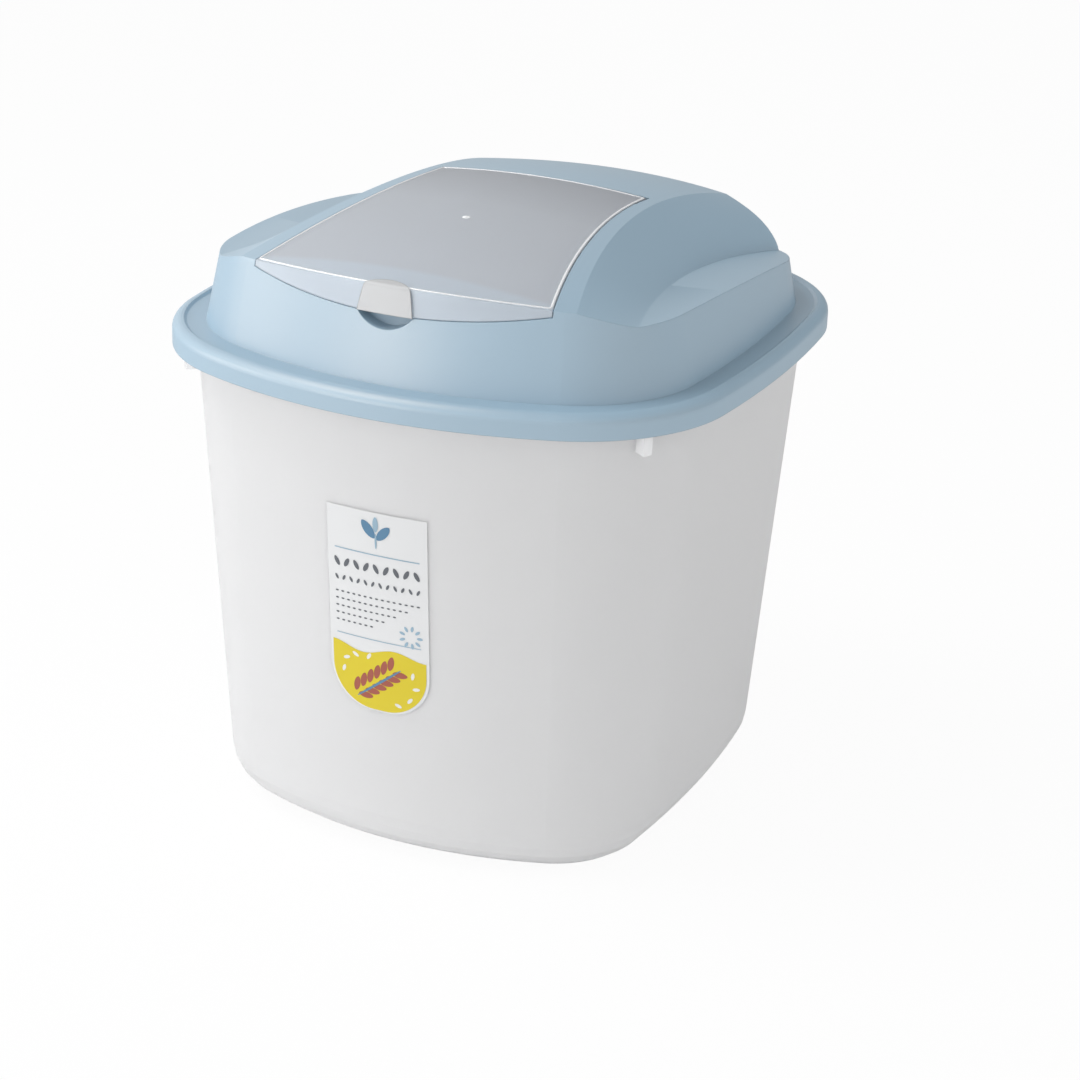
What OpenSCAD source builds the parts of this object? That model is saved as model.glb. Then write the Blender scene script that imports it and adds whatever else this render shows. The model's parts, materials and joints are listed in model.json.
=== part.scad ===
/* [Rim outline] */
// Width of the bin over the lid's rim
bin_width = 260; // [256:1:268]
// Depth of the bin over the lid's rim
bin_depth = 272; // [266:1:280]
// Plan radius of the rim's four corners
corner_r = 73.8; // [70:0.2:76]
// Half of the angle that the front arc and the back arc turn through
front_half_angle = 21.65; // [20:0.05:23]
// Half of the angle that each side arc turns through
side_half_angle = 5.62; // [4.8:0.02:6.4]

/* [Bucket] */
// Height of the bucket to the top of its flange
bucket_height = 218.5; // [190:0.5:260]
// Thickness of the bucket's wall
bucket_wall = 2.2; // [1.6:0.1:3]
// Thickness of the bucket's floor
floor_thickness = 2.4; // [1.8:0.1:4]
// Inset of the bucket's wall from the rim outline at the ground
wall_foot_inset = 26.3; // [22:0.1:28]
// Inset of the bucket's wall from the rim outline at its top
wall_top_inset = 10.5; // [9.5:0.1:11]
// Radius between the bucket's wall and its floor
base_radius = 22; // [14:0.5:24]
// Width of the foot ring that the bucket stands on
foot_width = 5; // [3:0.5:7]
// Height of the foot ring
foot_height = 1.5; // [1:0.1:2.5]
// Thickness of the bucket's flange and of its turned-down lip
flange_thickness = 1.8; // [1.4:0.1:2.2]
// Depth of the turned-down lip below the flange's top
lip_depth = 7.2; // [5:0.1:9]
// Height of the small gussets under the flange
gusset_height = 16.5; // [12:0.5:18]
// Inset of a gusset's outer edge from the rim outline
gusset_inset = 5; // [4.6:0.1:8]
// Width of a gusset
gusset_width = 4.2; // [2:0.1:5]
// Direction of a gusset from its corner's centre, from the side
gusset_angle = 37; // [20:1:55]

/* [Lid rim] */
// Thickness of the lid's rim and shell
lid_wall = 2; // [1.6:0.1:2.4]
// Depth of the skirt below the top of the rim's channel
skirt_depth = 9.8; // [8:0.1:12]
// Gap between the skirt and the bucket's lip
skirt_clearance = 0.6; // [0.4:0.1:1]
// Width of the rounding on the rim's outer edge
rim_round_width = 5.1; // [4:0.1:6]
// Height of the rounding on the rim's outer edge
rim_round_height = 4.2; // [3:0.1:5]
// Depth of the channel between the rim and the raised top
channel_depth = 1; // [0.6:0.1:1.4]
// Depth of the locating rib that drops inside the bucket
rib_depth = 6.5; // [4:0.1:10]
// Gap between the locating rib and the bucket's wall
rib_clearance = 0.7; // [0.5:0.1:0.8]

/* [Raised top] */
// Inset of the raised top's wall where it leaves the channel
plinth_inset = 14.8; // [14.6:0.1:16]
// Lean of the raised top's wall, inset per height
plinth_draft = 0.2; // [0.16:0.01:0.24]
// Height of the crown's highest point above the channel
crown_height = 52.5; // [50:0.1:54]
// Radius of the crown's ball-shaped top
crown_r = 460; // [430:5:490]
// Place of the crown's highest point from front to back
crown_y = -5; // [-8:0.5:-2]
// Radius of the brow between the front wall and the crown
brow_r = 6; // [5:0.5:7]
// Half width of the crown at its waist
crown_waist = 56.5; // [56:0.1:58]
// Place of the crown's waist from front to back
crown_waist_y = 40; // [35:1:45]
// Plan radius of the crown's hollow side edges
crown_side_r = 471; // [450:1:490]
// Half width between the foot lines of the crown's slanting sides
foot_waist = 84; // [82:0.5:87]
// Place of the foot lines' waist from front to back
foot_waist_y = 15; // [5:1:25]
// Plan radius of the foot lines
foot_line_r = 350; // [330:5:400]
// Height of the side shoulders above the channel at their highest
shoulder_height = 29.7; // [27:0.1:31]
// Place of the shoulders' highest point from front to back
shoulder_y = -60; // [-70:1:-50]
// Radius of the shoulders' fall towards the back
shoulder_r = 877; // [800:5:950]
// Power of the slanting side's profile at the front, over 1 is hollow
slant_front = 1.3; // [1.1:0.05:1.6]
// Power of the slanting side's profile at the back, under 1 is full
slant_back = 0.6; // [0.5:0.05:0.8]

/* [Flip cover] */
// Thickness of the flip cover
cover_wall = 2.2; // [1.8:0.1:2.6]
// Gap between the flip cover and the lid
cover_gap = 0.4; // [0.3:0.05:0.6]
// Half width of the flip cover at its rear
cover_waist = 50; // [49:0.1:50.2]
// Place of the cover's narrowest width from front to back
cover_waist_y = 35; // [30:1:40]
// Plan radius of the flip cover's hollow side edges
cover_side_r = 527; // [500:1:560]
// Place of the flip cover's rear edge
cover_rear_y = 34.2; // [33:0.1:36]
// Height of the cover's front edge above the channel at its middle
cover_front_z = 28.4; // [27:0.1:29]
// Rise of the front edge towards the corners, height per depth
cover_front_rise = 0.456; // [0.3:0.002:0.6]
// Radius between the flip cover's top and its front, crisper than the lid's brow
cover_brow_r = 1.6; // [1:0.1:3]
// Plan radius of the lifting tab
tab_r = 16.5; // [14:0.5:20]
// Depth of the lifting tab from the cover's front edge back over its top
tab_depth = 5.6; // [4:0.1:8]
// How far the lifting tab stands out of the cover
tab_proud = 0.8; // [0.5:0.1:1.2]
// Radius of the finger recess under the tab
finger_r = 16.3; // [14:0.1:18]
// Depth of the finger recess into the front wall
finger_depth = 6; // [4.5:0.1:7]
// Drop of the finger recess below the cover's front edge
finger_drop = 6.3; // [5:0.1:7.5]

/* [Hinge] */
// Radius of the flip cover's two hinge pins
pin_r = 1.5; // [1.2:0.1:1.8]
// Running clearance round a hinge pin
pin_clearance = 0.05; // [0.02:0.01:0.1]
// Length of a hinge pin beyond its knuckle
pin_length = 4.4; // [3.5:0.1:4.8]
// Radius of a hinge knuckle
knuckle_r = 2.6; // [2.4:0.1:3]
// Length of a hinge knuckle
knuckle_length = 9; // [6:0.5:14]
// Distance of the hinge axis in front of the cover's rear edge
hinge_setback = 6.2; // [6:0.1:6.6]
// Depth of the hinge axis below the crown's highest point
hinge_drop = 7.1; // [7:0.1:7.4]
// Gap behind the cover's rear edge that lets it swing
swing_gap = 1.2; // [1.1:0.05:1.6]

/* [Scoop opening] */
// Width of the ledge that carries the flip cover at each side
ledge_width = 9; // [7:0.5:11]
// Place of the opening's front edge
opening_front_y = -92; // [-94:0.5:-80]
// Place of the opening's rear edge
opening_rear_y = 2; // [-5:0.5:6]
// Radius of the opening's corners
opening_corner_r = 9; // [6:0.5:12]
// Height of the collar that hangs round the opening
collar_height = 15; // [10:0.5:18]

/* [Seal and label] */
// Thickness of the seal between the lid and the bucket
seal_thickness = 1.5; // [1:0.1:2.5]
// Width of the seal
seal_width = 5; // [4:0.1:6]
// Width of the label on the front
label_width = 47; // [30:1:60]
// Height of the label
label_height = 94; // [50:1:100]
// Height of the label's lower edge above the ground
label_bottom = 72; // [50:1:110]
// Radius of the label's round lower corners
label_corner_r = 20; // [10:0.5:20]
// Thickness of the label
label_thickness = 0.15; // [0.1:0.05:0.3]
// Thickness of the glue under the label
glue_gap = 0.15; // [0.05:0.01:0.2]
// Gap between the seal and the locating rib
seal_gap = 0.2; // [0.1:0.05:0.5]

/* [Hidden] */

// Colours
bucket_white = [0.93, 0.935, 0.93];
lid_blue = [0.66, 0.77, 0.84];
seal_white = [0.9, 0.9, 0.88];
frosted_clear = [0.78, 0.8, 0.82, 0.75];
label_yellow = [0.89, 0.82, 0.24];

// Segments of a full turn where an arc is drawn
sweep_fn = 240;
ball_fn = 360;
// A hair more turn at each end of an arc, so that neighbours overlap in a mesh
seam_turn = 0.000001;
// Segments of a rounding in a section or an outline
round_steps = 6;
// Long enough to reach through anything here
far = 300;

// Rim outline: four wide arcs joined by four corner arcs, all tangent.
// The reaches run from the wide arcs' centres to the corner arcs' centres.
half_width = bin_width / 2;
half_depth = bin_depth / 2;
corner_from = side_half_angle;
corner_to = 90 - front_half_angle;
corner_turn = corner_to - corner_from;
side_flat = 1 - cos(corner_from);
front_flat = 1 - sin(corner_to);
spare_width = half_width - corner_r;
spare_depth = half_depth - corner_r;
balance = side_flat * front_flat - cos(corner_to) * sin(corner_from);
side_reach = (spare_width * front_flat - spare_depth * cos(corner_to)) / balance;
front_reach = (spare_depth * side_flat - spare_width * sin(corner_from)) / balance;
side_r = side_reach + corner_r;
front_r = front_reach + corner_r;
side_centre = side_r - half_width;
front_centre = front_r - half_depth;
corner_x = front_reach * cos(corner_to);
corner_y = side_reach * sin(corner_from);

// Each arc: centre x and y, radius, start angle, turn
RIM_ARCS = [
    [-side_centre, 0, side_r, -corner_from, 2 * corner_from],
    [corner_x, corner_y, corner_r, corner_from, corner_turn],
    [0, -front_centre, front_r, corner_to, 2 * front_half_angle],
    [-corner_x, corner_y, corner_r, 180 - corner_to, corner_turn],
    [side_centre, 0, side_r, 180 - corner_from, 2 * corner_from],
    [-corner_x, -corner_y, corner_r, 180 + corner_from, corner_turn],
    [0, front_centre, front_r, 180 + corner_to, 2 * front_half_angle],
    [corner_x, -corner_y, corner_r, -corner_to, corner_turn]
];
front_arc = RIM_ARCS[6];

// Heights, from the ground up
rim_under_z = bucket_height + seal_thickness;
channel_z = rim_under_z + lid_wall;
skirt_z = channel_z - skirt_depth;
rim_top_z = channel_z + channel_depth;
crown_z = channel_z + crown_height;
ball_centre = [0, crown_y, crown_z - crown_r];
shoulder_axis_z = channel_z + shoulder_height - shoulder_r;

// Bucket
wall_taper = (wall_foot_inset - wall_top_inset) / bucket_height;
wall_slope = sqrt(1 + wall_taper ^ 2);
wall_lean = atan(wall_taper);
floor_top_z = foot_height + floor_thickness;
floor_round = base_radius - floor_top_z;
foot_inset = wall_inset(base_radius) + base_radius * wall_slope;
foot_chamfer = 1;
floor_round_inset = wall_inset(base_radius) + (bucket_wall + floor_round) * wall_slope;
floor_edge_room = 4;
floor_overlap = 1.5;
floor_edge_inset = foot_inset + foot_width + floor_edge_room;
floor_plate_inset = floor_edge_inset - floor_overlap;
lip_inset = lid_wall + skirt_clearance;
lip_chamfer = 1;
rim_inner_inset = wall_top_inset + bucket_wall;
gusset_z = bucket_height - gusset_height;
gusset_root = (wall_inset(gusset_z) + rim_inner_inset) / 2;

// Lid rim and seal
rib_inset = rim_inner_inset + rib_clearance;
rib_z = rim_under_z - rib_depth;
channel_edge = 1.2;
seal_inner_inset = rib_inset - seal_gap;

// Raised top: its wall, and the brow where the wall meets the crown
plinth_slope = sqrt(1 + plinth_draft ^ 2);
plinth_lean = atan(plinth_draft);
brow_end = 112;
brow_run = tan(brow_end - 90);
fill_inset = 55;
wall_fill = 60;

// Slanting sides, as a grid of points that crosses the crown's edge
slant_front_room = 36;
slant_back_room = 32;
cut_room = 10;
slant_front_y = slant_front_room - half_depth;
slant_back_y = half_depth - slant_back_room;
cut_y = half_depth - cut_room;
cut_rows = 24;
cut_columns = 8;
cut_reach = -0.15;

// Flip cover and hinge
cover_front_edge_z = channel_z + cover_front_z;
cover_front_y = plinth_inset_at(cover_front_edge_z) - half_depth;
cover_skirt_room = 4;
cover_front_half = waist_x(cover_front_y, cover_waist, cover_waist_y, cover_side_r);
cover_corner_r = corner_r - plinth_inset_at(cover_front_edge_z);
cover_corner_reach = sqrt(cover_corner_r ^ 2 - max(cover_front_half - corner_x, 0) ^ 2);
cover_skirt_y = cover_skirt_room - corner_y - cover_corner_reach;
recess_depth = cover_wall + cover_gap;
tray_depth = recess_depth + lid_wall;
hinge_y = cover_rear_y - hinge_setback;
hinge_z = crown_z - hinge_drop;
swing_r = norm([hinge_setback, ball_z(0, cover_rear_y) - hinge_z]);
trough_r = swing_r + cover_gap;
trough_end_room = 0.5;
trough_half = cover_waist + cover_gap + trough_end_room;
recess_rear_y = cover_rear_y + swing_gap;
pin_end = cover_waist + pin_length;
boss_wall = 1.6;
boss_r = pin_r + pin_clearance + boss_wall;
bore_end = pin_end + cover_gap;
bore_floor = 1.4;
boss_end = bore_end + bore_floor;
tab_centre_y = cover_front_y + tab_depth - tab_r;
finger_z = cover_front_edge_z - finger_drop + finger_r;
finger_floor_y = cover_front_y + finger_depth;
finger_room = 2.5;
finger_top = finger_drop + finger_room;

// Scoop opening
collar_wall = 1.8;

function wall_inset(z) = wall_foot_inset - wall_taper * z;
function plinth_inset_at(z) = plinth_inset + plinth_draft * (z - channel_z);
function ball_z(x, y) = ball_centre.z + sqrt(crown_r ^ 2 - x ^ 2 - (y - crown_y) ^ 2);
// Thickness straight down over thickness square to the crown, at a place from front to back
function crown_lean(y) = crown_r / sqrt(crown_r ^ 2 - (y - crown_y) ^ 2);
// Centre of a brow's arc at the bin's front, for a radius of the brow: its inset and height
function brow_edge_inset(r) =
    plinth_inset_at(ball_z(0, plinth_inset + r - half_depth) - r) + r * plinth_slope;
function brow_z(r) =
    let (y = brow_edge_inset(r) - half_depth) ball_z(0, y) - crown_lean(y) * r;
function brow_inset(r) = plinth_inset_at(brow_z(r)) + r * plinth_slope;
// Half width between two hollow side edges
function waist_x(y, half, at, r) = half + r - sqrt(r ^ 2 - (y - at) ^ 2);
// Points of an arc from one angle to another
function arc(centre, r, from, to) =
    [for (i = [0:round_steps]) let (a = from + (to - from) * i / round_steps)
        centre + r * [cos(a), sin(a)]];
// The rim outline moved inwards, as points
function outline(inset) =
    [for (a = RIM_ARCS, i = [0:round_steps - 1]) let (turn = a[3] + a[4] * i / round_steps)
        [a[0], a[1]] + (a[2] - inset) * [cos(turn), sin(turn)]];

// Moves by a coarse step and a fine one, which keeps the ends of the arcs exactly together
module placed(v) {
    coarse = [for (c = v) round(c * 1000) / 1000];
    translate(coarse) translate(v - coarse) children();
}

// Sweeps a wall's section along one arc of the rim; a section's x is its inset
module swept(rim_arc, section) {
    placed([rim_arc[0], rim_arc[1], 0])
        rotate_extrude(angle = rim_arc[4] + 2 * seam_turn, start = rim_arc[3] - seam_turn, $fn = sweep_fn)
            placed([rim_arc[2], 0]) polygon([for (p = section) [-p.x, p.y]]);
}

module around(section) {
    for (rim_arc = RIM_ARCS) swept(rim_arc, section);
}

// The bucket's wall, from the foot ring up to the turned-down lip and down inside
function bucket_section() = concat(
    [[floor_edge_inset, foot_height]],
    [[foot_inset + foot_width + foot_chamfer, foot_height], [foot_inset + foot_width, 0]],
    arc([foot_inset, base_radius], base_radius, 270, 180 + wall_lean),
    [[wall_inset(bucket_height - flange_thickness), bucket_height - flange_thickness]],
    [[lip_inset + flange_thickness, bucket_height - flange_thickness]],
    [[lip_inset + flange_thickness, bucket_height - lip_depth]],
    [[lip_inset, bucket_height - lip_depth], [lip_inset, bucket_height - lip_chamfer]],
    [[lip_inset + lip_chamfer, bucket_height], [rim_inner_inset, bucket_height]],
    arc([floor_round_inset, base_radius], floor_round, 180 + wall_lean, 270),
    [[floor_edge_inset, floor_top_z]]
);

// The lid's skirt, rounded rim, channel and locating rib
function lid_rim_section() = concat(
    [[rib_inset + lid_wall, rib_z], [rib_inset, rib_z], [rib_inset, rim_under_z]],
    [[lid_wall, rim_under_z], [lid_wall, skirt_z], [0, skirt_z]],
    [for (i = [0:round_steps]) let (a = 90 * i / round_steps)
        [rim_round_width * (1 - cos(a)), rim_top_z - rim_round_height * (1 - sin(a))]],
    [[rim_round_width + channel_edge, channel_z], [plinth_inset + lid_wall / 2, channel_z]],
    [[plinth_inset + lid_wall / 2, rim_under_z], [rib_inset + lid_wall, rim_under_z]]
);

// The raised top's wall and brow, a depth under the outer face whose brow has a radius
function raised_section(depth, foot_z, r) = concat(
    [[plinth_inset_at(foot_z) + depth * plinth_slope, foot_z]],
    arc([brow_inset(r), brow_z(r)], r - depth, 180 - plinth_lean, brow_end),
    [[wall_fill, brow_z(r) + (wall_fill - brow_inset(r)) * brow_run + r - depth]],
    [[wall_fill, foot_z]]
);

// The body under the crown, a depth under its outer face
module crowned(depth, foot_z, r = brow_r) {
    intersection() {
        union() {
            around(raised_section(depth, foot_z, r));
            translate([0, 0, foot_z]) linear_extrude(far) polygon(outline(fill_inset));
        }
        translate(ball_centre) rotate([0, 90, 0]) sphere(crown_r - depth, $fn = ball_fn);
    }
}

function shoulder_z(y) = shoulder_axis_z + sqrt(shoulder_r ^ 2 - (y - shoulder_y) ^ 2);
function slant_power(y) =
    slant_front * (slant_back / slant_front) ^ ((y - slant_front_y) / (slant_back_y - slant_front_y));
// A point of the slanting side: 0 is at the crown's edge and 1 at the foot line
function slant_point(share, y) =
    let (edge = waist_x(y, crown_waist, crown_waist_y, crown_side_r))
    let (foot = waist_x(y, foot_waist, foot_waist_y, foot_line_r))
    let (rise = ball_z(edge, y) - shoulder_z(y))
    [edge + (foot - edge) * share, y, shoulder_z(y) + rise * (1 - share) ^ slant_power(y)];
function slant_row(y) = concat(
    [slant_point(cut_reach, y)],
    [for (i = [0:cut_columns]) slant_point(1 - (1 - i / cut_columns) ^ 2, y)],
    [[half_width, y, shoulder_z(y)]]
);

// Everything above a slanting side and its shoulder
module side_cut() {
    rows = [for (j = [0:cut_rows]) slant_row(-cut_y + 2 * cut_y * j / cut_rows)];
    n = len(rows[0]);
    lower = [for (row = rows) each row];
    top = len(lower);
    polyhedron(
        points = concat(lower, [for (p = lower) [p.x, p.y, far]]),
        faces = concat(
            [for (j = [0:cut_rows - 1], i = [0:n - 2]) let (k = j * n + i) each [
                [k, k + 1, k + n + 1], [k, k + n + 1, k + n],
                [top + k, top + k + n + 1, top + k + 1], [top + k, top + k + n, top + k + n + 1]
            ]],
            [for (i = [0:n - 2], j = [0, cut_rows]) let (k = j * n + i)
                j == 0 ? [k, top + k, top + k + 1, k + 1] : [k, k + 1, top + k + 1, top + k]],
            [for (j = [0:cut_rows - 1], i = [0, n - 1]) let (k = j * n + i)
                i == 0 ? [k, k + n, top + k + n, top + k] : [k, top + k, top + k + n, k + n]]
        )
    );
}

// The raised top, a depth under its outer face
module raised(depth, foot_z) {
    difference() {
        crowned(depth, foot_z);
        for (side = [0, 1])
            mirror([side, 0, 0]) translate([-depth, 0, -depth]) side_cut();
    }
}

// The field of the flip cover seen from above, grown by a margin
module cover_field(margin, rear_y) {
    front_z = cover_front_edge_z - margin;
    difference() {
        translate([-half_width, -far, front_z]) cube([bin_width, far + rear_y, far]);
        for (side = [-1, 1])
            translate([side * (cover_waist + cover_side_r), cover_waist_y, 0])
                cylinder(r = cover_side_r - margin, h = 2 * far, $fn = ball_fn);
        intersection() {
            translate([0, cover_front_y, front_z])
                rotate([atan(cover_front_rise), 0, 0])
                    translate([-half_width, -half_depth, -far])
                        cube([bin_width, bin_depth, far]);
            translate([-half_width, cover_skirt_y - far, 0]) cube([bin_width, far, far]);
        }
    }
}

// A cylinder along the hinge axis, about the middle of the bin or to one side
module hinge_rod(r, from, to) {
    translate([from, hinge_y, hinge_z]) rotate([0, 90, 0]) cylinder(r = r, h = to - from, $fn = 96);
}

// Outline of the scoop opening, grown by a margin
function opening_half(y) = waist_x(y, cover_waist, cover_waist_y, cover_side_r) - ledge_width;
function opening_side(margin) =
    let (r = opening_corner_r + margin)
    let (front = opening_front_y + opening_corner_r)
    let (rear = opening_rear_y - opening_corner_r)
    concat(
        arc([opening_half(front) - opening_corner_r, front], r, -90, 0),
        [for (i = [1:2 * round_steps - 1]) let (y = front + (rear - front) * i / (2 * round_steps))
            [opening_half(y) + margin, y]],
        arc([opening_half(rear) - opening_corner_r, rear], r, 0, 90)
    );
function opening_outline(margin) =
    let (side = opening_side(margin))
    concat(side, [for (i = [len(side) - 1:-1:0]) [-side[i].x, side[i].y]]);

// The wall that hangs round the scoop opening
module collar_body() {
    difference() {
        linear_extrude(far) polygon(opening_outline(collar_wall));
        translate(ball_centre) rotate([0, 90, 0])
            sphere(crown_r - tray_depth - collar_height, $fn = ball_fn);
    }
}

// The finger recess in the front wall, grown by a margin
module finger_body(margin) {
    intersection() {
        translate([0, finger_floor_y + margin, finger_z])
            rotate([90, 0, 0]) cylinder(r = finger_r + margin, h = half_depth, $fn = 96);
        translate([-half_width, -half_depth, 0])
            cube([bin_width, half_depth, finger_z - finger_r + finger_top + margin]);
    }
}

// The space under the lid
module lid_hollow() {
    difference() {
        raised(lid_wall, rib_z);
        difference() {
            cover_field(cover_gap + lid_wall, recess_rear_y + lid_wall);
            crowned(tray_depth, rib_z);
        }
        hinge_rod(trough_r + lid_wall, -trough_half - lid_wall, trough_half + lid_wall);
        hinge_rod(boss_r, trough_half, boss_end);
        hinge_rod(boss_r, -boss_end, -trough_half);
        collar_body();
        finger_body(lid_wall);
    }
}

module bucket() color(bucket_white) {
    around(bucket_section());
    translate([0, 0, foot_height])
        linear_extrude(floor_thickness) polygon(outline(floor_plate_inset));
    for (x = [-1, 1], y = [-1, 1])
        scale([x, y, 1])
            translate([corner_x, corner_y, gusset_z])
                rotate(gusset_angle)
                    translate([corner_r - gusset_root, -gusset_width / 2, 0])
                        cube([gusset_root - gusset_inset, gusset_width, gusset_height - flange_thickness / 2]);
}

module lid() color(lid_blue) {
    around(lid_rim_section());
    difference() {
        raised(0, rim_under_z);
        lid_hollow();
        difference() {
            cover_field(cover_gap, recess_rear_y);
            crowned(recess_depth, rib_z);
        }
        hinge_rod(trough_r, -trough_half, trough_half);
        hinge_rod(pin_r + pin_clearance, trough_half - lid_wall, bore_end);
        hinge_rod(pin_r + pin_clearance, -bore_end, lid_wall - trough_half);
        linear_extrude(far) polygon(opening_outline(0));
        finger_body(0);
    }
}

module lid_seal() color(seal_white)
    around([
        [seal_inner_inset, bucket_height], [seal_inner_inset - seal_width, bucket_height],
        [seal_inner_inset - seal_width, rim_under_z], [seal_inner_inset, rim_under_z]
    ]);

module flip_cover() color(frosted_clear) {
    difference() {
        intersection() {
            crowned(0, rim_under_z, cover_brow_r);
            cover_field(0, cover_rear_y);
        }
        crowned(cover_wall, rib_z);
    }
    // Lifting tab, standing proud of the cover's front
    difference() {
        intersection() {
            crowned(-tab_proud, rim_under_z, cover_brow_r);
            cover_field(0, cover_rear_y);
            translate([0, tab_centre_y, 0]) cylinder(r = tab_r, h = far, $fn = 240);
        }
        crowned(cover_wall / 2, rib_z);
    }
    // Hinge knuckles with their webs, and the pins
    for (side = [0, 1])
        mirror([side, 0, 0]) {
            intersection() {
                union() {
                    hinge_rod(knuckle_r, cover_waist - knuckle_length, cover_waist);
                    translate([cover_waist - knuckle_length, hinge_y - knuckle_r, hinge_z])
                        cube([knuckle_length, 2 * knuckle_r, hinge_drop]);
                }
                crowned(cover_wall / 2, rib_z);
            }
            hinge_rod(pin_r, cover_waist - knuckle_length / 2, pin_end);
        }
}

module label() color(label_yellow)
    intersection() {
        swept(front_arc, [
            for (step = [[base_radius, 0], [base_radius, 1], [gusset_z, 1], [gusset_z, 0]])
                [wall_inset(step[0]) - glue_gap - step[1] * label_thickness, step[0]]
        ]);
        translate([-label_width / 2, 0, label_bottom])
            rotate([90, 0, 0])
                linear_extrude(half_depth) {
                    translate([0, label_corner_r])
                        square([label_width, label_height - label_corner_r]);
                    translate([label_corner_r, 0])
                        square([label_width - 2 * label_corner_r, label_corner_r]);
                    for (x = [label_corner_r, label_width - label_corner_r])
                        translate([x, label_corner_r]) circle(label_corner_r, $fn = 96);
                }
    }

bucket();
lid();
lid_seal();
flip_cover();
label();
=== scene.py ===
"""Looks of a rice bin with a flip lid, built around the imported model. Metres, +Z up, the front faces -Y."""
import json
import math

import bpy
import numpy as np
from mathutils import Matrix, Vector

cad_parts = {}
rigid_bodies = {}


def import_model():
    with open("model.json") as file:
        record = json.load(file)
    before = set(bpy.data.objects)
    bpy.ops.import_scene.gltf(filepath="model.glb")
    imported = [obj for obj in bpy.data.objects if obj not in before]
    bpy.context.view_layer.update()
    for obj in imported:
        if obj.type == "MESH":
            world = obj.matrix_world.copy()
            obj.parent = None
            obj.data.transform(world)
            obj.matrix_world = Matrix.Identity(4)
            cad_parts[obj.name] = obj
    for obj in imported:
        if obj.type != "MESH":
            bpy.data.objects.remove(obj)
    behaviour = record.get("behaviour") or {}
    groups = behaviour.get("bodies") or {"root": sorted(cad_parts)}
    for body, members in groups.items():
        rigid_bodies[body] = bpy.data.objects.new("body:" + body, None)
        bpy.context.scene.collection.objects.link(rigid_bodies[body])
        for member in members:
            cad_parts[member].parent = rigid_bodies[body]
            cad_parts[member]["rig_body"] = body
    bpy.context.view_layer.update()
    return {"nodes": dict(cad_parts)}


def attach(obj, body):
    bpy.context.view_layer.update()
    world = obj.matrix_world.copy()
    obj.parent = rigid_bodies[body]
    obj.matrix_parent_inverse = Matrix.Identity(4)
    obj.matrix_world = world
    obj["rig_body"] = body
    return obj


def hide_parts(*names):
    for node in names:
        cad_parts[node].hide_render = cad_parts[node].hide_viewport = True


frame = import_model()
nodes = frame["nodes"]

MM = 0.001

# ---------------------------------------------------------------- sizes, in mm, as in the part's source
BIN_WIDTH, BIN_DEPTH, CORNER_R = 260.0, 272.0, 73.8
FRONT_HALF, SIDE_HALF = math.radians(21.65), math.radians(5.62)
BUCKET_HEIGHT, FOOT_INSET, TOP_INSET = 218.5, 26.3, 10.5
CHANNEL_Z, CROWN_Z, CROWN_R, CROWN_Y = 222.0, 274.5, 460.0, -5.0
WAIST, WAIST_Y, WAIST_R = 56.5, 40.0, 471.0
FOOT, FOOT_Y, FOOT_R = 84.0, 15.0, 350.0
SHOULDER_HEIGHT, SHOULDER_Y, SHOULDER_R = 29.7, -60.0, 877.0
SLANT_FRONT, SLANT_BACK = 1.3, 0.6
LID_WALL = 2.0
SLANT_START, SLANT_LENGTH = -100, 204
COVER_WAIST, COVER_WAIST_Y, COVER_SIDE_R = 50.0, 35.0, 527.0

CORNER_FROM, CORNER_TO = SIDE_HALF, math.pi / 2 - FRONT_HALF


def rim_arcs():
    """Centre and radius of the rim outline's front arc, and the centre of its front right corner."""
    side_flat, front_flat = 1 - math.cos(CORNER_FROM), 1 - math.sin(CORNER_TO)
    wide, deep = BIN_WIDTH / 2 - CORNER_R, BIN_DEPTH / 2 - CORNER_R
    balance = side_flat * front_flat - math.cos(CORNER_TO) * math.sin(CORNER_FROM)
    front_reach = (deep * side_flat - wide * math.sin(CORNER_FROM)) / balance
    side_reach = (wide * front_flat - deep * math.cos(CORNER_TO)) / balance
    radius = front_reach + CORNER_R
    corner = ((radius - CORNER_R) * math.cos(CORNER_TO), side_reach * math.sin(CORNER_FROM))
    return radius - BIN_DEPTH / 2, radius, corner


FRONT_CENTRE, FRONT_R, CORNER_AT = rim_arcs()


def wall_y(x, z, proud):
    """Y of the bucket's front wall at x and z, a little proud of it."""
    inset = FOOT_INSET - (FOOT_INSET - TOP_INSET) * z / BUCKET_HEIGHT
    return FRONT_CENTRE - math.sqrt((FRONT_R - inset + proud) ** 2 - x * x)


def ball_z(x, y):
    """Height of the ball-shaped crown above the ground."""
    return CROWN_Z - CROWN_R + np.sqrt(CROWN_R ** 2 - x ** 2 - (y - CROWN_Y) ** 2)


def side_z(x, y):
    """Height of a slanting side and its shoulder above the ground."""
    x = np.abs(x)
    edge = WAIST + WAIST_R - np.sqrt(WAIST_R ** 2 - (y - WAIST_Y) ** 2)
    foot = FOOT + FOOT_R - np.sqrt(FOOT_R ** 2 - (y - FOOT_Y) ** 2)
    low = CHANNEL_Z + SHOULDER_HEIGHT - SHOULDER_R + np.sqrt(SHOULDER_R ** 2 - (y - SHOULDER_Y) ** 2)
    power = SLANT_FRONT * (SLANT_BACK / SLANT_FRONT) ** ((y - SLANT_START) / SLANT_LENGTH)
    share = (x - edge) / (foot - edge)
    rise = ball_z(edge, y) - low
    return low + rise * np.clip(1 - share, 0, None) ** power


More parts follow.
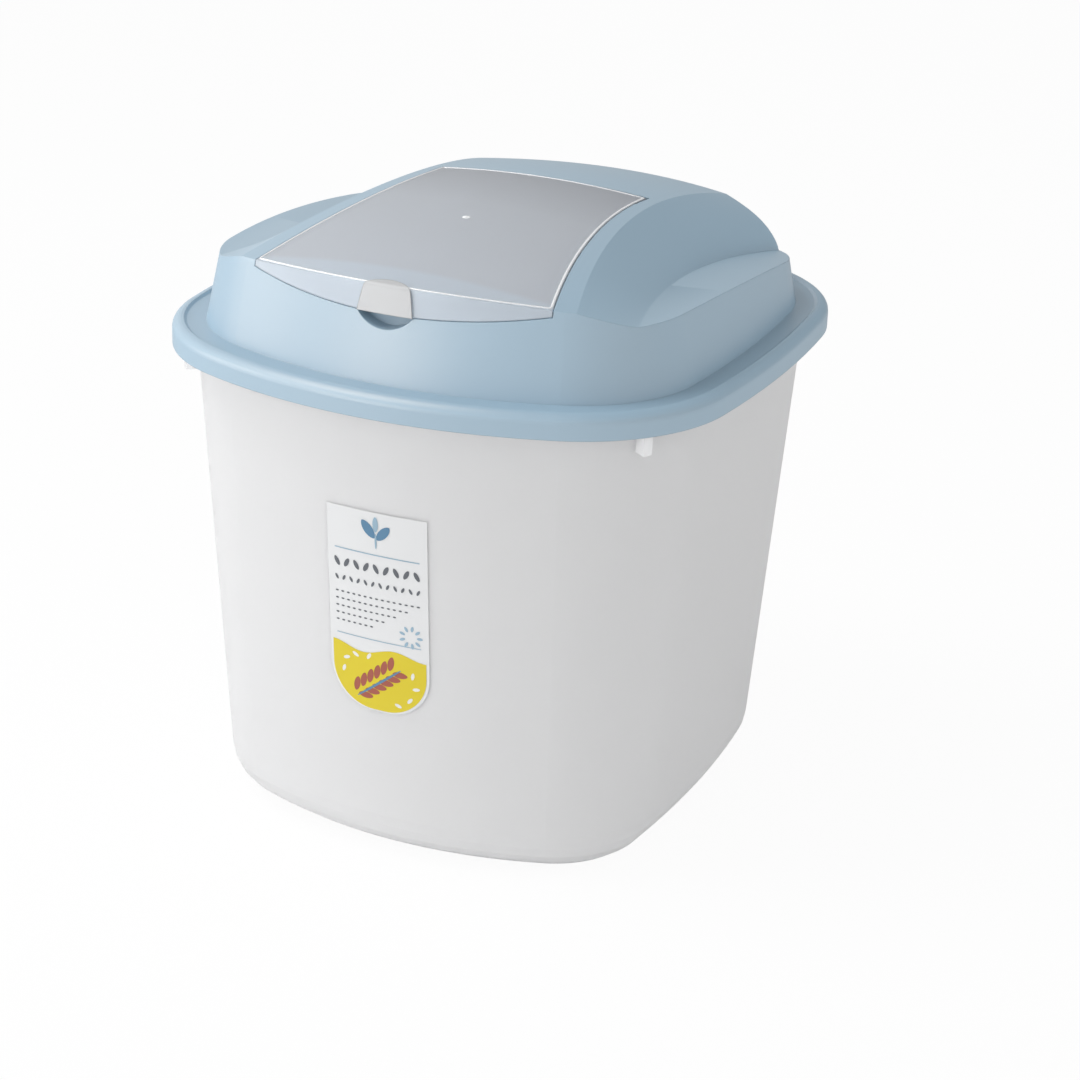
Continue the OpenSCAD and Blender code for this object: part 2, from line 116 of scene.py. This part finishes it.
def side_normal(x, y):
    """Direction square to a slanting side, by small steps."""
    step = 0.05
    dx = (side_z(x + step, y) - side_z(x - step, y)) / (2 * step)
    dy = (side_z(x, y + step) - side_z(x, y - step)) / (2 * step)
    n = np.stack([-dx, -dy, np.ones_like(dx)], axis=-1)
    return n / np.linalg.norm(n, axis=-1, keepdims=True)


# ---------------------------------------------------------------- materials
DRIFT_SCALE, GRAIN_SCALE = 14.0, 1400.0
GRAIN_HEIGHT, GLOSS_DRIFT = 0.012, 0.05


def material(name, colour, roughness, **sockets):
    """A moulded plastic: slow colour drift, fine grain and slightly rounded edges, from nodes."""
    drift = sockets.pop("drift", 0.03)
    edge = sockets.pop("edge", 0.0006)
    m = bpy.data.materials.new(name)
    m.use_nodes = True
    tree = m.node_tree
    new, link = tree.nodes.new, tree.links.new
    shader = tree.nodes["Principled BSDF"]
    place = new("ShaderNodeTexCoord")
    slow = new("ShaderNodeTexNoise")
    slow.inputs["Scale"].default_value = DRIFT_SCALE
    slow.inputs["Detail"].default_value = 3.0
    link(place.outputs["Object"], slow.inputs["Vector"])
    ramp = new("ShaderNodeValToRGB")
    low, high = ramp.color_ramp.elements
    low.position, high.position = 0.3, 0.7
    low.color = [c * (1 - drift) for c in colour] + [1]
    high.color = [min(1, c * (1 + drift)) for c in colour] + [1]
    link(slow.outputs["Fac"], ramp.inputs["Fac"])
    link(ramp.outputs["Color"], shader.inputs["Base Color"])
    fine = new("ShaderNodeTexNoise")
    fine.inputs["Scale"].default_value = GRAIN_SCALE
    fine.inputs["Detail"].default_value = 2.0
    link(place.outputs["Object"], fine.inputs["Vector"])
    gloss = new("ShaderNodeMapRange")
    gloss.inputs["To Min"].default_value = roughness - GLOSS_DRIFT
    gloss.inputs["To Max"].default_value = roughness + GLOSS_DRIFT
    link(slow.outputs["Fac"], gloss.inputs["Value"])
    link(gloss.outputs["Result"], shader.inputs["Roughness"])
    bump = new("ShaderNodeBump")
    bump.inputs["Strength"].default_value = 0.35
    bump.inputs["Distance"].default_value = GRAIN_HEIGHT * MM
    link(fine.outputs["Fac"], bump.inputs["Height"])
    if edge:
        soft = new("ShaderNodeBevel")
        soft.samples = 6
        soft.inputs["Radius"].default_value = edge
        link(soft.outputs["Normal"], bump.inputs["Normal"])
    link(bump.outputs["Normal"], shader.inputs["Normal"])
    for socket, value in sockets.items():
        shader.inputs[socket.replace("_", " ")].default_value = value
    return m


def srgb(*rgb):
    """Linear colour from screen values of 0 to 255, all over 10."""
    return [((c / 255 + 0.055) / 1.055) ** 2.4 for c in rgb]


LID = material(
    "lid_blue", srgb(156, 184, 203), 0.4, drift=0.012, IOR=1.6, Specular_IOR_Level=1.0,
    Specular_Tint=(1, 0.8, 0.62, 1))
BUCKET = material(
    "bucket_white", srgb(234, 234.2, 235.6), 0.36, drift=0.006, Specular_IOR_Level=0.6,
    Subsurface_Weight=0.7, Subsurface_Scale=0.01, Subsurface_Radius=(1, 1, 1))
COVER = material(
    "cover_frosted", srgb(229, 235, 243), 0.37, drift=0.006, Transmission_Weight=0.42, IOR=1.49,
    Specular_IOR_Level=0.6)
TAB = material(
    "cover_tab", srgb(200, 201, 202), 0.32, drift=0.006, Transmission_Weight=0.15, IOR=1.49)
# Near-white clear plastic whose brightness paints a highlight on the cover's bead; the gate mark is drawn in
# it too
CLEAR_HIGHLIGHT = material("cover_clear_highlight", srgb(248, 250, 252), 0.25, drift=0.004, edge=0, Transmission_Weight=0.25)
SEAL = material(
    "seal_silicone", srgb(228, 228, 222), 0.5, Subsurface_Weight=0.4, Subsurface_Scale=0.003,
    Subsurface_Radius=(1, 1, 1))
FILM = material("label_film", srgb(220, 221, 222), 0.3, edge=0, drift=0.006)


def paint_light_along(m, start, stop, shades):
    """Paints light and shade into a material from front to back: shades, each at a share of the way from
    start to stop.
    """
    tree = m.node_tree
    new, link = tree.nodes.new, tree.links.new
    whole = tree.nodes["Principled BSDF"].inputs["Base Color"]
    parts = new("ShaderNodeSeparateXYZ")
    along = new("ShaderNodeMapRange")
    along.inputs["From Min"].default_value = start
    along.inputs["From Max"].default_value = stop
    ramp = new("ShaderNodeValToRGB")
    marks = ramp.color_ramp.elements
    for mark, (share, shade) in zip(marks, (shades[0], shades[-1])):
        mark.position, mark.color = share, [*shade, 1]
    for share, shade in shades[1:-1]:
        marks.new(share).color = [*shade, 1]
    tinted = new("ShaderNodeMix")
    tinted.data_type = "RGBA"
    tinted.blend_type = "MULTIPLY"
    tinted.inputs["Factor"].default_value = 1.0
    link(new("ShaderNodeTexCoord").outputs["Object"], parts.inputs[0])
    link(parts.outputs["Y"], along.inputs["Value"])
    link(along.outputs["Result"], ramp.inputs["Fac"])
    link(whole.links[0].from_socket, tinted.inputs["A"])
    link(ramp.outputs["Color"], tinted.inputs["B"])
    link(tinted.outputs["Result"], whole)


# Painted light on the frosted cover: lighter at its front, where its edge turns down, and painted shade
# darkening it towards its back
COVER_FRONT, COVER_BACK = -0.13, 0.034
paint_light_along(COVER, COVER_FRONT, COVER_BACK, [
    (0.18, (0.94, 0.98, 1.0)), (0.2, (0.9, 0.9, 0.9)), (0.65, (0.84, 0.84, 0.84)), (1.0, (0.62, 0.62, 0.63))])


# ---------------------------------------------------------------- pieces
def dressed(node, name, finish):
    """A smooth copy of a CAD node, which it replaces."""
    piece = bpy.data.objects.new(name, nodes[node].data.copy())
    bpy.context.scene.collection.objects.link(piece)
    piece.data.name = name
    piece.data.materials.clear()
    piece.data.materials.append(finish)
    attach(piece, nodes[node]["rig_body"])
    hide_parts(node)
    return piece


# A corner lies on a slanting side when it is this near, faces this much its way and lies this far out
SIDE_REACH, SIDE_COSINE, SIDE_FROM = 0.35, 0.86, 40


def smooth_sides(piece):
    """Gives the faceted slanting sides, inside and out, the normals of the surface they follow."""
    mesh = piece.data
    count = len(mesh.loops)
    vertex = np.empty(count, int)
    mesh.loops.foreach_get("vertex_index", vertex)
    normal = np.empty(count * 3)
    mesh.corner_normals.foreach_get("vector", normal)
    normal = normal.reshape(-1, 3)
    p = np.array([v.co for v in mesh.vertices])[vertex] / MM
    face = np.repeat(np.arange(len(mesh.polygons)), [f.loop_total for f in mesh.polygons])
    for shift, sign in ((0.0, 1.0), (LID_WALL, -1.0)):
        x, y = np.abs(p[:, 0]) + shift, p[:, 1]
        away = np.abs(side_z(x, y) - shift - p[:, 2])
        want = side_normal(x, y)
        want[:, 0] *= np.sign(p[:, 0])
        want *= sign
        near = (away < SIDE_REACH) & ((want * normal).sum(1) > SIDE_COSINE) & (np.abs(p[:, 0]) > SIDE_FROM)
        whole = np.ones(len(mesh.polygons), bool)
        np.logical_and.at(whole, face, near)
        use = whole[face]
        normal[use] = want[use]
    for polygon in mesh.polygons:
        polygon.use_smooth = True
    mesh.normals_split_custom_set([Vector(n) for n in normal])


lid = dressed("lid", "lid_shell", LID)
smooth_sides(lid)
dressed("bucket", "bucket_shell", BUCKET)
cover = dressed("flip_cover", "cover_shell", COVER)
# The lifting tab is thicker, so it looks whiter: what stands proud of the crown or before it, in a circle
TAB_CENTRE_Y, TAB_R, TAB_FRONT_Y, TAB_PROUD = -126.4, 16.7, -112.5, 0.4
cover.data.materials.append(TAB)
for face in cover.data.polygons:
    c = face.center / MM
    on_tab = c.x ** 2 + (c.y - TAB_CENTRE_Y) ** 2 < TAB_R ** 2
    proud = c.z - ball_z(c.x, c.y) > TAB_PROUD
    if on_tab and (proud or c.y < TAB_FRONT_Y):
        face.material_index = 1


def modelled(name, points, faces, finish):
    """A smooth piece from points in mm."""
    mesh = bpy.data.meshes.new(name)
    mesh.from_pydata([[v * MM for v in point] for point in points], [], faces)
    for face in mesh.polygons:
        face.use_smooth = True
    mesh.materials.append(finish)
    piece = bpy.data.objects.new(name, mesh)
    bpy.context.scene.collection.objects.link(piece)
    return piece


def ring_faces(count, sides, closed):
    """Faces between rings of points, each ring joined to the next, and the last to the first when closed."""
    faces = []
    for i in range(count if closed else count - 1):
        j = (i + 1) % count
        for k in range(sides):
            n = (k + 1) % sides
            faces.append((i * sides + k, i * sides + n, j * sides + n, j * sides + k))
    return faces


def bead_rings(path, out, wide, high, sides):
    """Rings of an oval section round a closed path; out is the way the bead stands out at each point."""
    path, out = np.array(path, float), np.array(out, float)
    out /= np.linalg.norm(out, axis=1, keepdims=True)
    along = np.roll(path, -1, 0) - np.roll(path, 1, 0)
    along /= np.linalg.norm(along, axis=1, keepdims=True)
    across = np.cross(along, out)
    across /= np.linalg.norm(across, axis=1, keepdims=True)
    turn = np.arange(sides)[None, :, None] * 2 * math.pi / sides
    rings = path[:, None] + across[:, None] * np.cos(turn) * wide + out[:, None] * np.sin(turn) * high
    return rings.reshape(-1, 3)


def outline(inset, start, stop, count):
    """Points of the rim outline moved inwards, from one x to another along the front."""
    corner_x, corner_y = CORNER_AT
    points = []
    for x in np.linspace(start, stop, count):
        if abs(x) <= (FRONT_R - inset) * math.sin(FRONT_HALF):
            y = FRONT_CENTRE - math.sqrt((FRONT_R - inset) ** 2 - x * x)
        else:
            y = -corner_y - math.sqrt((CORNER_R - inset) ** 2 - (abs(x) - corner_x) ** 2)
        points.append((x, y))
    return points


def cover_half(y):
    """Half width of the cover."""
    return COVER_WAIST + COVER_SIDE_R - math.sqrt(COVER_SIDE_R ** 2 - (y - COVER_WAIST_Y) ** 2)


def ball_out(x, y):
    """Direction square to the crown."""
    return (x, y - CROWN_Y, ball_z(x, y) - (CROWN_Z - CROWN_R))


for node, finish in (("lid_seal", SEAL), ("label", FILM)):
    for held in nodes[node].material_slots:
        held.material = finish

# A slightly raised bead round the cover's edge, its near-white colour a painted highlight line: along its
# front crease, down its sides and along its rear
BEAD_INSET, BEAD_LIFT, BEAD_WIDE, BEAD_HIGH, BEAD_SIDES = 0.75, 0.02, 0.55, 0.3, 12
CREASE_INSET, CREASE_Y, BEAD_REAR = 23.7, -99.0, 33.5
FRONT_TURN, REAR_TURN = 1.5, 1.0
crease_x = cover_half(CREASE_Y) - BEAD_INSET
crease = outline(CREASE_INSET, -crease_x, crease_x, 61)
side = [(cover_half(y) - BEAD_INSET, y) for y in np.linspace(crease[-1][1] + FRONT_TURN, BEAD_REAR, 50)]
rear = [(x, BEAD_REAR) for x in np.linspace(side[-1][0] - REAR_TURN, REAR_TURN - side[-1][0], 40)]
loop = crease + side + rear + [(-x, y) for x, y in side[::-1]]
points = bead_rings(
    [(x, y, ball_z(x, y) + BEAD_LIFT) for x, y in loop], [ball_out(x, y) for x, y in loop],
    BEAD_WIDE, BEAD_HIGH, BEAD_SIDES)
bead = modelled("cover_bead_highlight", points, ring_faces(len(loop), BEAD_SIDES, True), CLEAR_HIGHLIGHT)
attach(bead, "cover_body")

# Mark left by the mould's gate in the middle of the cover, as rings of a radius and a height
GATE_RINGS = [(0.0, 0.28), (0.5, 0.3), (0.9, 0.26), (1.3, 0.12), (1.7, 0.02), (2.0, -0.2)]
GATE_Y, GATE_SIDES = -42.3, 24
points = []
for radius, height in GATE_RINGS:
    for a in np.arange(GATE_SIDES) * 2 * math.pi / GATE_SIDES:
        x, y = radius * math.cos(a), radius * math.sin(a) + GATE_Y
        points.append((x, y, ball_z(x, y) + height))
gate_mark = modelled("cover_gate_mark", points, ring_faces(len(GATE_RINGS), GATE_SIDES, False), CLEAR_HIGHLIGHT)
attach(gate_mark, "cover_body")

# ---------------------------------------------------------------- print on the label
INK_ROUGHNESS, LABEL_PROUD, PRINT_STEP = 0.42, 0.42, 3
# Colour and drift of each ink
INKS = {
    ink: material("ink_" + ink, srgb(*colour), INK_ROUGHNESS, edge=0, drift=drift)
    for ink, colour, drift in (
        ("yellow", (213, 194, 42), 0.02),
        ("clay", (162, 88, 72), 0.03),
        ("blue", (89, 130, 161), 0.03),
        ("pale_blue", (148, 175, 193), 0.03),
        ("grey", (98, 102, 108), 0.03),
        ("white", (224, 223, 217), 0.01))}


def printed(name, ink, shapes, lift=0.0):
    """Flat shapes of one ink, each a closed outline in x and z that bulges from its middle."""
    verts, faces = [], []
    for shape in shapes:
        points = np.array(shape, float)
        middle = points.mean(0)
        rings = max(2, int(np.abs(points - middle).max() / PRINT_STEP))
        count, base = len(points), len(verts)
        verts.append(middle)
        for r in range(1, rings + 1):
            verts.extend(middle + (points - middle) * r / rings)
        for k in range(count):
            n = (k + 1) % count
            faces.append((base, base + 1 + k, base + 1 + n))
            for r in range(rings - 1):
                a = base + 1 + r * count
                faces.append((a + k, a + count + k, a + count + n, a + n))
    piece = modelled(name, [(x, wall_y(x, z, LABEL_PROUD + lift), z) for x, z in verts], faces, INKS[ink])
    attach(piece, "bucket_body")


def grain(x, z, long, wide, lean, tip, sides=28):
    """A grain or leaf that leans by some degrees: pointed at its ends when tip is over 1."""
    points = []
    across, up = math.cos(math.radians(lean)), math.sin(math.radians(lean))
    for k in range(sides):
        a = 2 * math.pi * k / sides
        u = long / 2 * math.cos(a)
        v = wide / 2 * math.copysign(abs(math.sin(a)) ** tip, math.sin(a))
        points.append((x + u * across - v * up, z + u * up + v * across))
    return points


def bar(x0, x1, z0, z1, count=14):
    """A level rule across the label."""
    low = [(x0 + (x1 - x0) * i / count, z0) for i in range(count + 1)]
    return low + [(x, z1) for x, _ in low[::-1]]


# A yellow field with a wavy top that fills the label's round foot
FOOT_ROUND, FOOT_FLAT, FOOT_Z, WAVE_Z, WAVE_HIGH = 19.2, 3.0, 92.0, 101.0, 1.6
field_half = FOOT_ROUND + FOOT_FLAT
field = []
for x, start in ((-FOOT_FLAT, math.pi), (FOOT_FLAT, 1.5 * math.pi)):
    for k in range(25):
        a = start + math.pi / 2 * k / 24
        field.append((x + FOOT_ROUND * math.cos(a), FOOT_Z + FOOT_ROUND * math.sin(a)))
for x in np.linspace(field_half, -field_half, 41):
    field.append((x, WAVE_Z + WAVE_HIGH * math.sin(x / field_half * 1.5 * math.pi)))
printed("print_field", "yellow", [field])
# An ear of grain across the field
ear = []
for k in range(6):
    x, z = -9.0 + 3.3 * k, 80.5 + 2.6 * k
    ear.append(grain(x - 1.6, z + 3.0, 7.0, 3.0, 78, 1.2))
    ear.append(grain(x + 2.6, z - 1.6, 7.0, 3.0, -2, 1.2))
printed("print_ear", "clay", ear, 0.05)
printed("print_stem", "blue", [grain(0.0, 86.0, 27.0, 1.1, 38, 0.8)], 0.08)
LOOSE_GRAINS = [
    (-15.5, 95.0, 20), (-17.0, 89.5, 70), (-11.0, 97.5, -30), (14.5, 80.5, 50), (17.5, 86.5, 10),
    (9.0, 77.0, -20), (-4.5, 98.0, 60), (16.0, 92.5, 80)]
printed("print_grains", "white", [grain(x, z, 3.4, 1.6, lean, 1.1) for x, z, lean in LOOSE_GRAINS], 0.05)
# Rows of grains and dots above the field
rows = []
for count, start, pitch, z, long, wide in (
        (9, -19.0, 4.7, 140.0, 4.6, 2.0), (12, -19.3, 3.5, 132.6, 2.7, 1.2)):
    for k in range(count):
        rows.append(grain(start + pitch * k, z, long, wide, 62 if k % 2 else 118, 1.1))
printed("print_rows", "grey", rows)
dots = []
for row, z in enumerate((126.0, 122.6, 119.2, 115.8, 112.4)):
    for k in range(15 - 2 * row):
        dots.append(grain(-19.4 + 2.75 * k, z, 1.5, 0.75, 0, 1.0))
printed("print_dots", "grey", dots)
RING_X, RING_Z, RING_R = 15.4, 111.0, 4.1
ring = []
for lean in range(0, 360, 40):
    a = math.radians(lean)
    ring.append(grain(RING_X + RING_R * math.cos(a), RING_Z + RING_R * math.sin(a), 2.7, 1.3, lean, 1.1))
printed("print_ring", "pale_blue", ring)
printed("print_rules", "pale_blue", [bar(-20.0, 20.0, 146.2, 146.7), bar(-20.0, 20.0, 106.0, 106.4)])
# A sprout at the top
printed("print_leaves", "blue", [
    grain(-3.4, 158.0, 9.5, 4.4, 128, 1.3), grain(3.6, 157.0, 9.0, 4.0, 48, 1.3)])
printed("print_sprout", "pale_blue", [
    grain(0.1, 160.6, 7.0, 2.6, 90, 1.2), grain(0.1, 153.0, 7.0, 0.9, 90, 0.8)], 0.04)

# ---------------------------------------------------------------- floor, light and camera
def feed(tree, socket, value):
    """Sets a socket to a number, or links another node's output to it."""
    if isinstance(value, (int, float)):
        socket.default_value = value
    else:
        tree.links.new(value, socket)


def reckon(tree, operation, *values):
    """A maths node's output, from numbers and other nodes' outputs."""
    node = tree.nodes.new("ShaderNodeMath")
    node.operation = operation
    for socket, value in zip(node.inputs, values):
        feed(tree, socket, value)
    return node.outputs[0]


def rays(tree):
    """Whether a ray comes by gloss or through the cover, and whether it comes straight from the camera."""
    seen = tree.nodes.new("ShaderNodeLightPath").outputs
    return reckon(tree, "MAXIMUM", seen["Is Glossy Ray"], seen["Is Transmission Ray"]), seen["Is Camera Ray"]


bpy.ops.mesh.primitive_plane_add(size=30, location=(0, 0, 0))
floor = bpy.context.object
floor.name = "floor"
m = bpy.data.materials.new("floor_white")
m.use_nodes = True
tree = m.node_tree
shader = tree.nodes["Principled BSDF"]
shader.inputs["Base Color"].default_value = (0.86, 0.86, 0.86, 1)
shader.inputs["Roughness"].default_value = 0.9

# The camera sees a white floor with a faint shadow; gloss and the frosted cover see it dimmer
FLOOR_WHITE, FLOOR_GLOSS = 0.94, 0.59
mirrored, straight = rays(tree)
glow = tree.nodes.new("ShaderNodeEmission")
tree.links.new(reckon(tree, "MULTIPLY_ADD", mirrored, FLOOR_GLOSS - 1, 1.0), glow.inputs["Strength"])
mix = tree.nodes.new("ShaderNodeMixShader")
glowing = reckon(tree, "MAXIMUM", mirrored, straight)
tree.links.new(reckon(tree, "MULTIPLY", glowing, FLOOR_WHITE), mix.inputs["Fac"])
tree.links.new(shader.outputs[0], mix.inputs[1])
tree.links.new(glow.outputs[0], mix.inputs[2])
tree.links.new(mix.outputs[0], tree.nodes["Material Output"].inputs["Surface"])
floor.data.materials.append(m)

# Light that falls on the object: level from all sides, more from two of them, and some from above
ALL_ROUND, FROM_ABOVE = 0.43, 0.38
FROM_SIDES = [(1.0, -120), (1.4, 75)]
GLOSS_ROUND, GLOSS_SIDES, GLOSS_TOP = 0.1, [(1.3, -90), (0.8, -45)], 0.75
world = bpy.data.worlds.new("studio")
bpy.context.scene.world = world
world.use_nodes = True
tree = world.node_tree
around = tree.nodes.new("ShaderNodeTexCoord").outputs["Generated"]
parts = tree.nodes.new("ShaderNodeSeparateXYZ")
tree.links.new(around, parts.inputs[0])
height = reckon(tree, "MAXIMUM", parts.outputs["Z"], 0.0)


def from_sides(sides, total):
    """Light that comes level from some directions, each a strength and an azimuth in degrees."""
    for strength, turn in sides:
        towards = tree.nodes.new("ShaderNodeVectorMath")
        towards.operation = "DOT_PRODUCT"
        towards.inputs[1].default_value = (math.sin(math.radians(turn)), -math.cos(math.radians(turn)), 0)
        tree.links.new(around, towards.inputs[0])
        facing = reckon(tree, "MAXIMUM", towards.outputs["Value"], 0.0)
        total = reckon(tree, "MULTIPLY_ADD", facing, strength, total)
    return total


falling = reckon(
    tree, "MULTIPLY_ADD", from_sides(FROM_SIDES, ALL_ROUND), reckon(tree, "SUBTRACT", 1.0, height),
    reckon(tree, "MULTIPLY", height, FROM_ABOVE))
# The camera sees white; gloss and the frosted cover see a room that is bright on the left and dark overhead
mirrored, straight = rays(tree)
room = reckon(
    tree, "MULTIPLY", reckon(tree, "LESS_THAN", parts.outputs["Z"], GLOSS_TOP),
    reckon(tree, "MINIMUM", from_sides(GLOSS_SIDES, GLOSS_ROUND), 1.0))
level = falling
for share, value in ((mirrored, room), (straight, 1.0)):
    pick = tree.nodes.new("ShaderNodeMix")
    pick.data_type = "FLOAT"
    feed(tree, pick.inputs["Factor"], share)
    feed(tree, pick.inputs["A"], level)
    feed(tree, pick.inputs["B"], value)
    level = pick.outputs["Result"]
tree.links.new(level, tree.nodes["Background"].inputs["Strength"])
tree.nodes["Background"].inputs["Color"].default_value = (1, 1, 1, 1)


def heading(turn, rise):
    """Direction at an azimuth from the front and an elevation, in degrees."""
    turn, rise = math.radians(turn), math.radians(rise)
    return Vector((math.sin(turn) * math.cos(rise), -math.cos(turn) * math.cos(rise), math.sin(rise)))


LAMP_DISTANCE, LAMP_AIM = 1.8, Vector((0, 0, 0.15))


def softbox(name, turn, rise, size, power):
    """A square lamp at an azimuth and an elevation in degrees, aimed at the bin."""
    lamp = bpy.data.lights.new(name, "AREA")
    lamp.size = size
    lamp.energy = power
    o = bpy.data.objects.new(name, lamp)
    o.location = LAMP_AIM + LAMP_DISTANCE * heading(turn, rise)
    o.rotation_euler = heading(turn, rise).to_track_quat("Z", "Y").to_euler()
    o.visible_camera = False
    bpy.context.scene.collection.objects.link(o)


softbox("key_high", -60, 60, 0.8, 12.0)
softbox("key_low", -45, 35, 0.8, 1.9)
softbox("front_low", -25, 8, 0.6, 5.3)
softbox("left_low", -62, 10, 0.9, 6.4)

# The photo's camera: its direction, roll, focal length and the middle of its picture, in pixels
CAMERA_TURN, CAMERA_RISE, CAMERA_ROLL = 25.13, 21.95, math.radians(1.70)
CAMERA_AIM, CAMERA_DISTANCE = Vector((0, 0, 0.12)), 1.3
FOCAL, MIDDLE_X, MIDDLE_Y, PICTURE = 2856.57, 500, 520, 1080
back = heading(CAMERA_TURN, CAMERA_RISE)
level_x = Vector((0, 0, 1)).cross(back).normalized()
level_y = back.cross(level_x)
right = math.cos(CAMERA_ROLL) * level_x + math.sin(CAMERA_ROLL) * level_y
up = -math.sin(CAMERA_ROLL) * level_x + math.cos(CAMERA_ROLL) * level_y
camera = bpy.data.objects.new("camera", bpy.data.cameras.new("camera"))
bpy.context.scene.collection.objects.link(camera)
pose = Matrix((right, up, back)).transposed().to_4x4()
pose.translation = CAMERA_AIM + CAMERA_DISTANCE * back
camera.matrix_world = pose
camera.data.sensor_width = 36
camera.data.lens = 36 * FOCAL / PICTURE
camera.data.shift_x = (PICTURE / 2 - MIDDLE_X) / PICTURE
camera.data.shift_y = (MIDDLE_Y - PICTURE / 2) / PICTURE
bpy.context.scene.camera = camera
bpy.context.scene.view_settings.view_transform = "Standard"
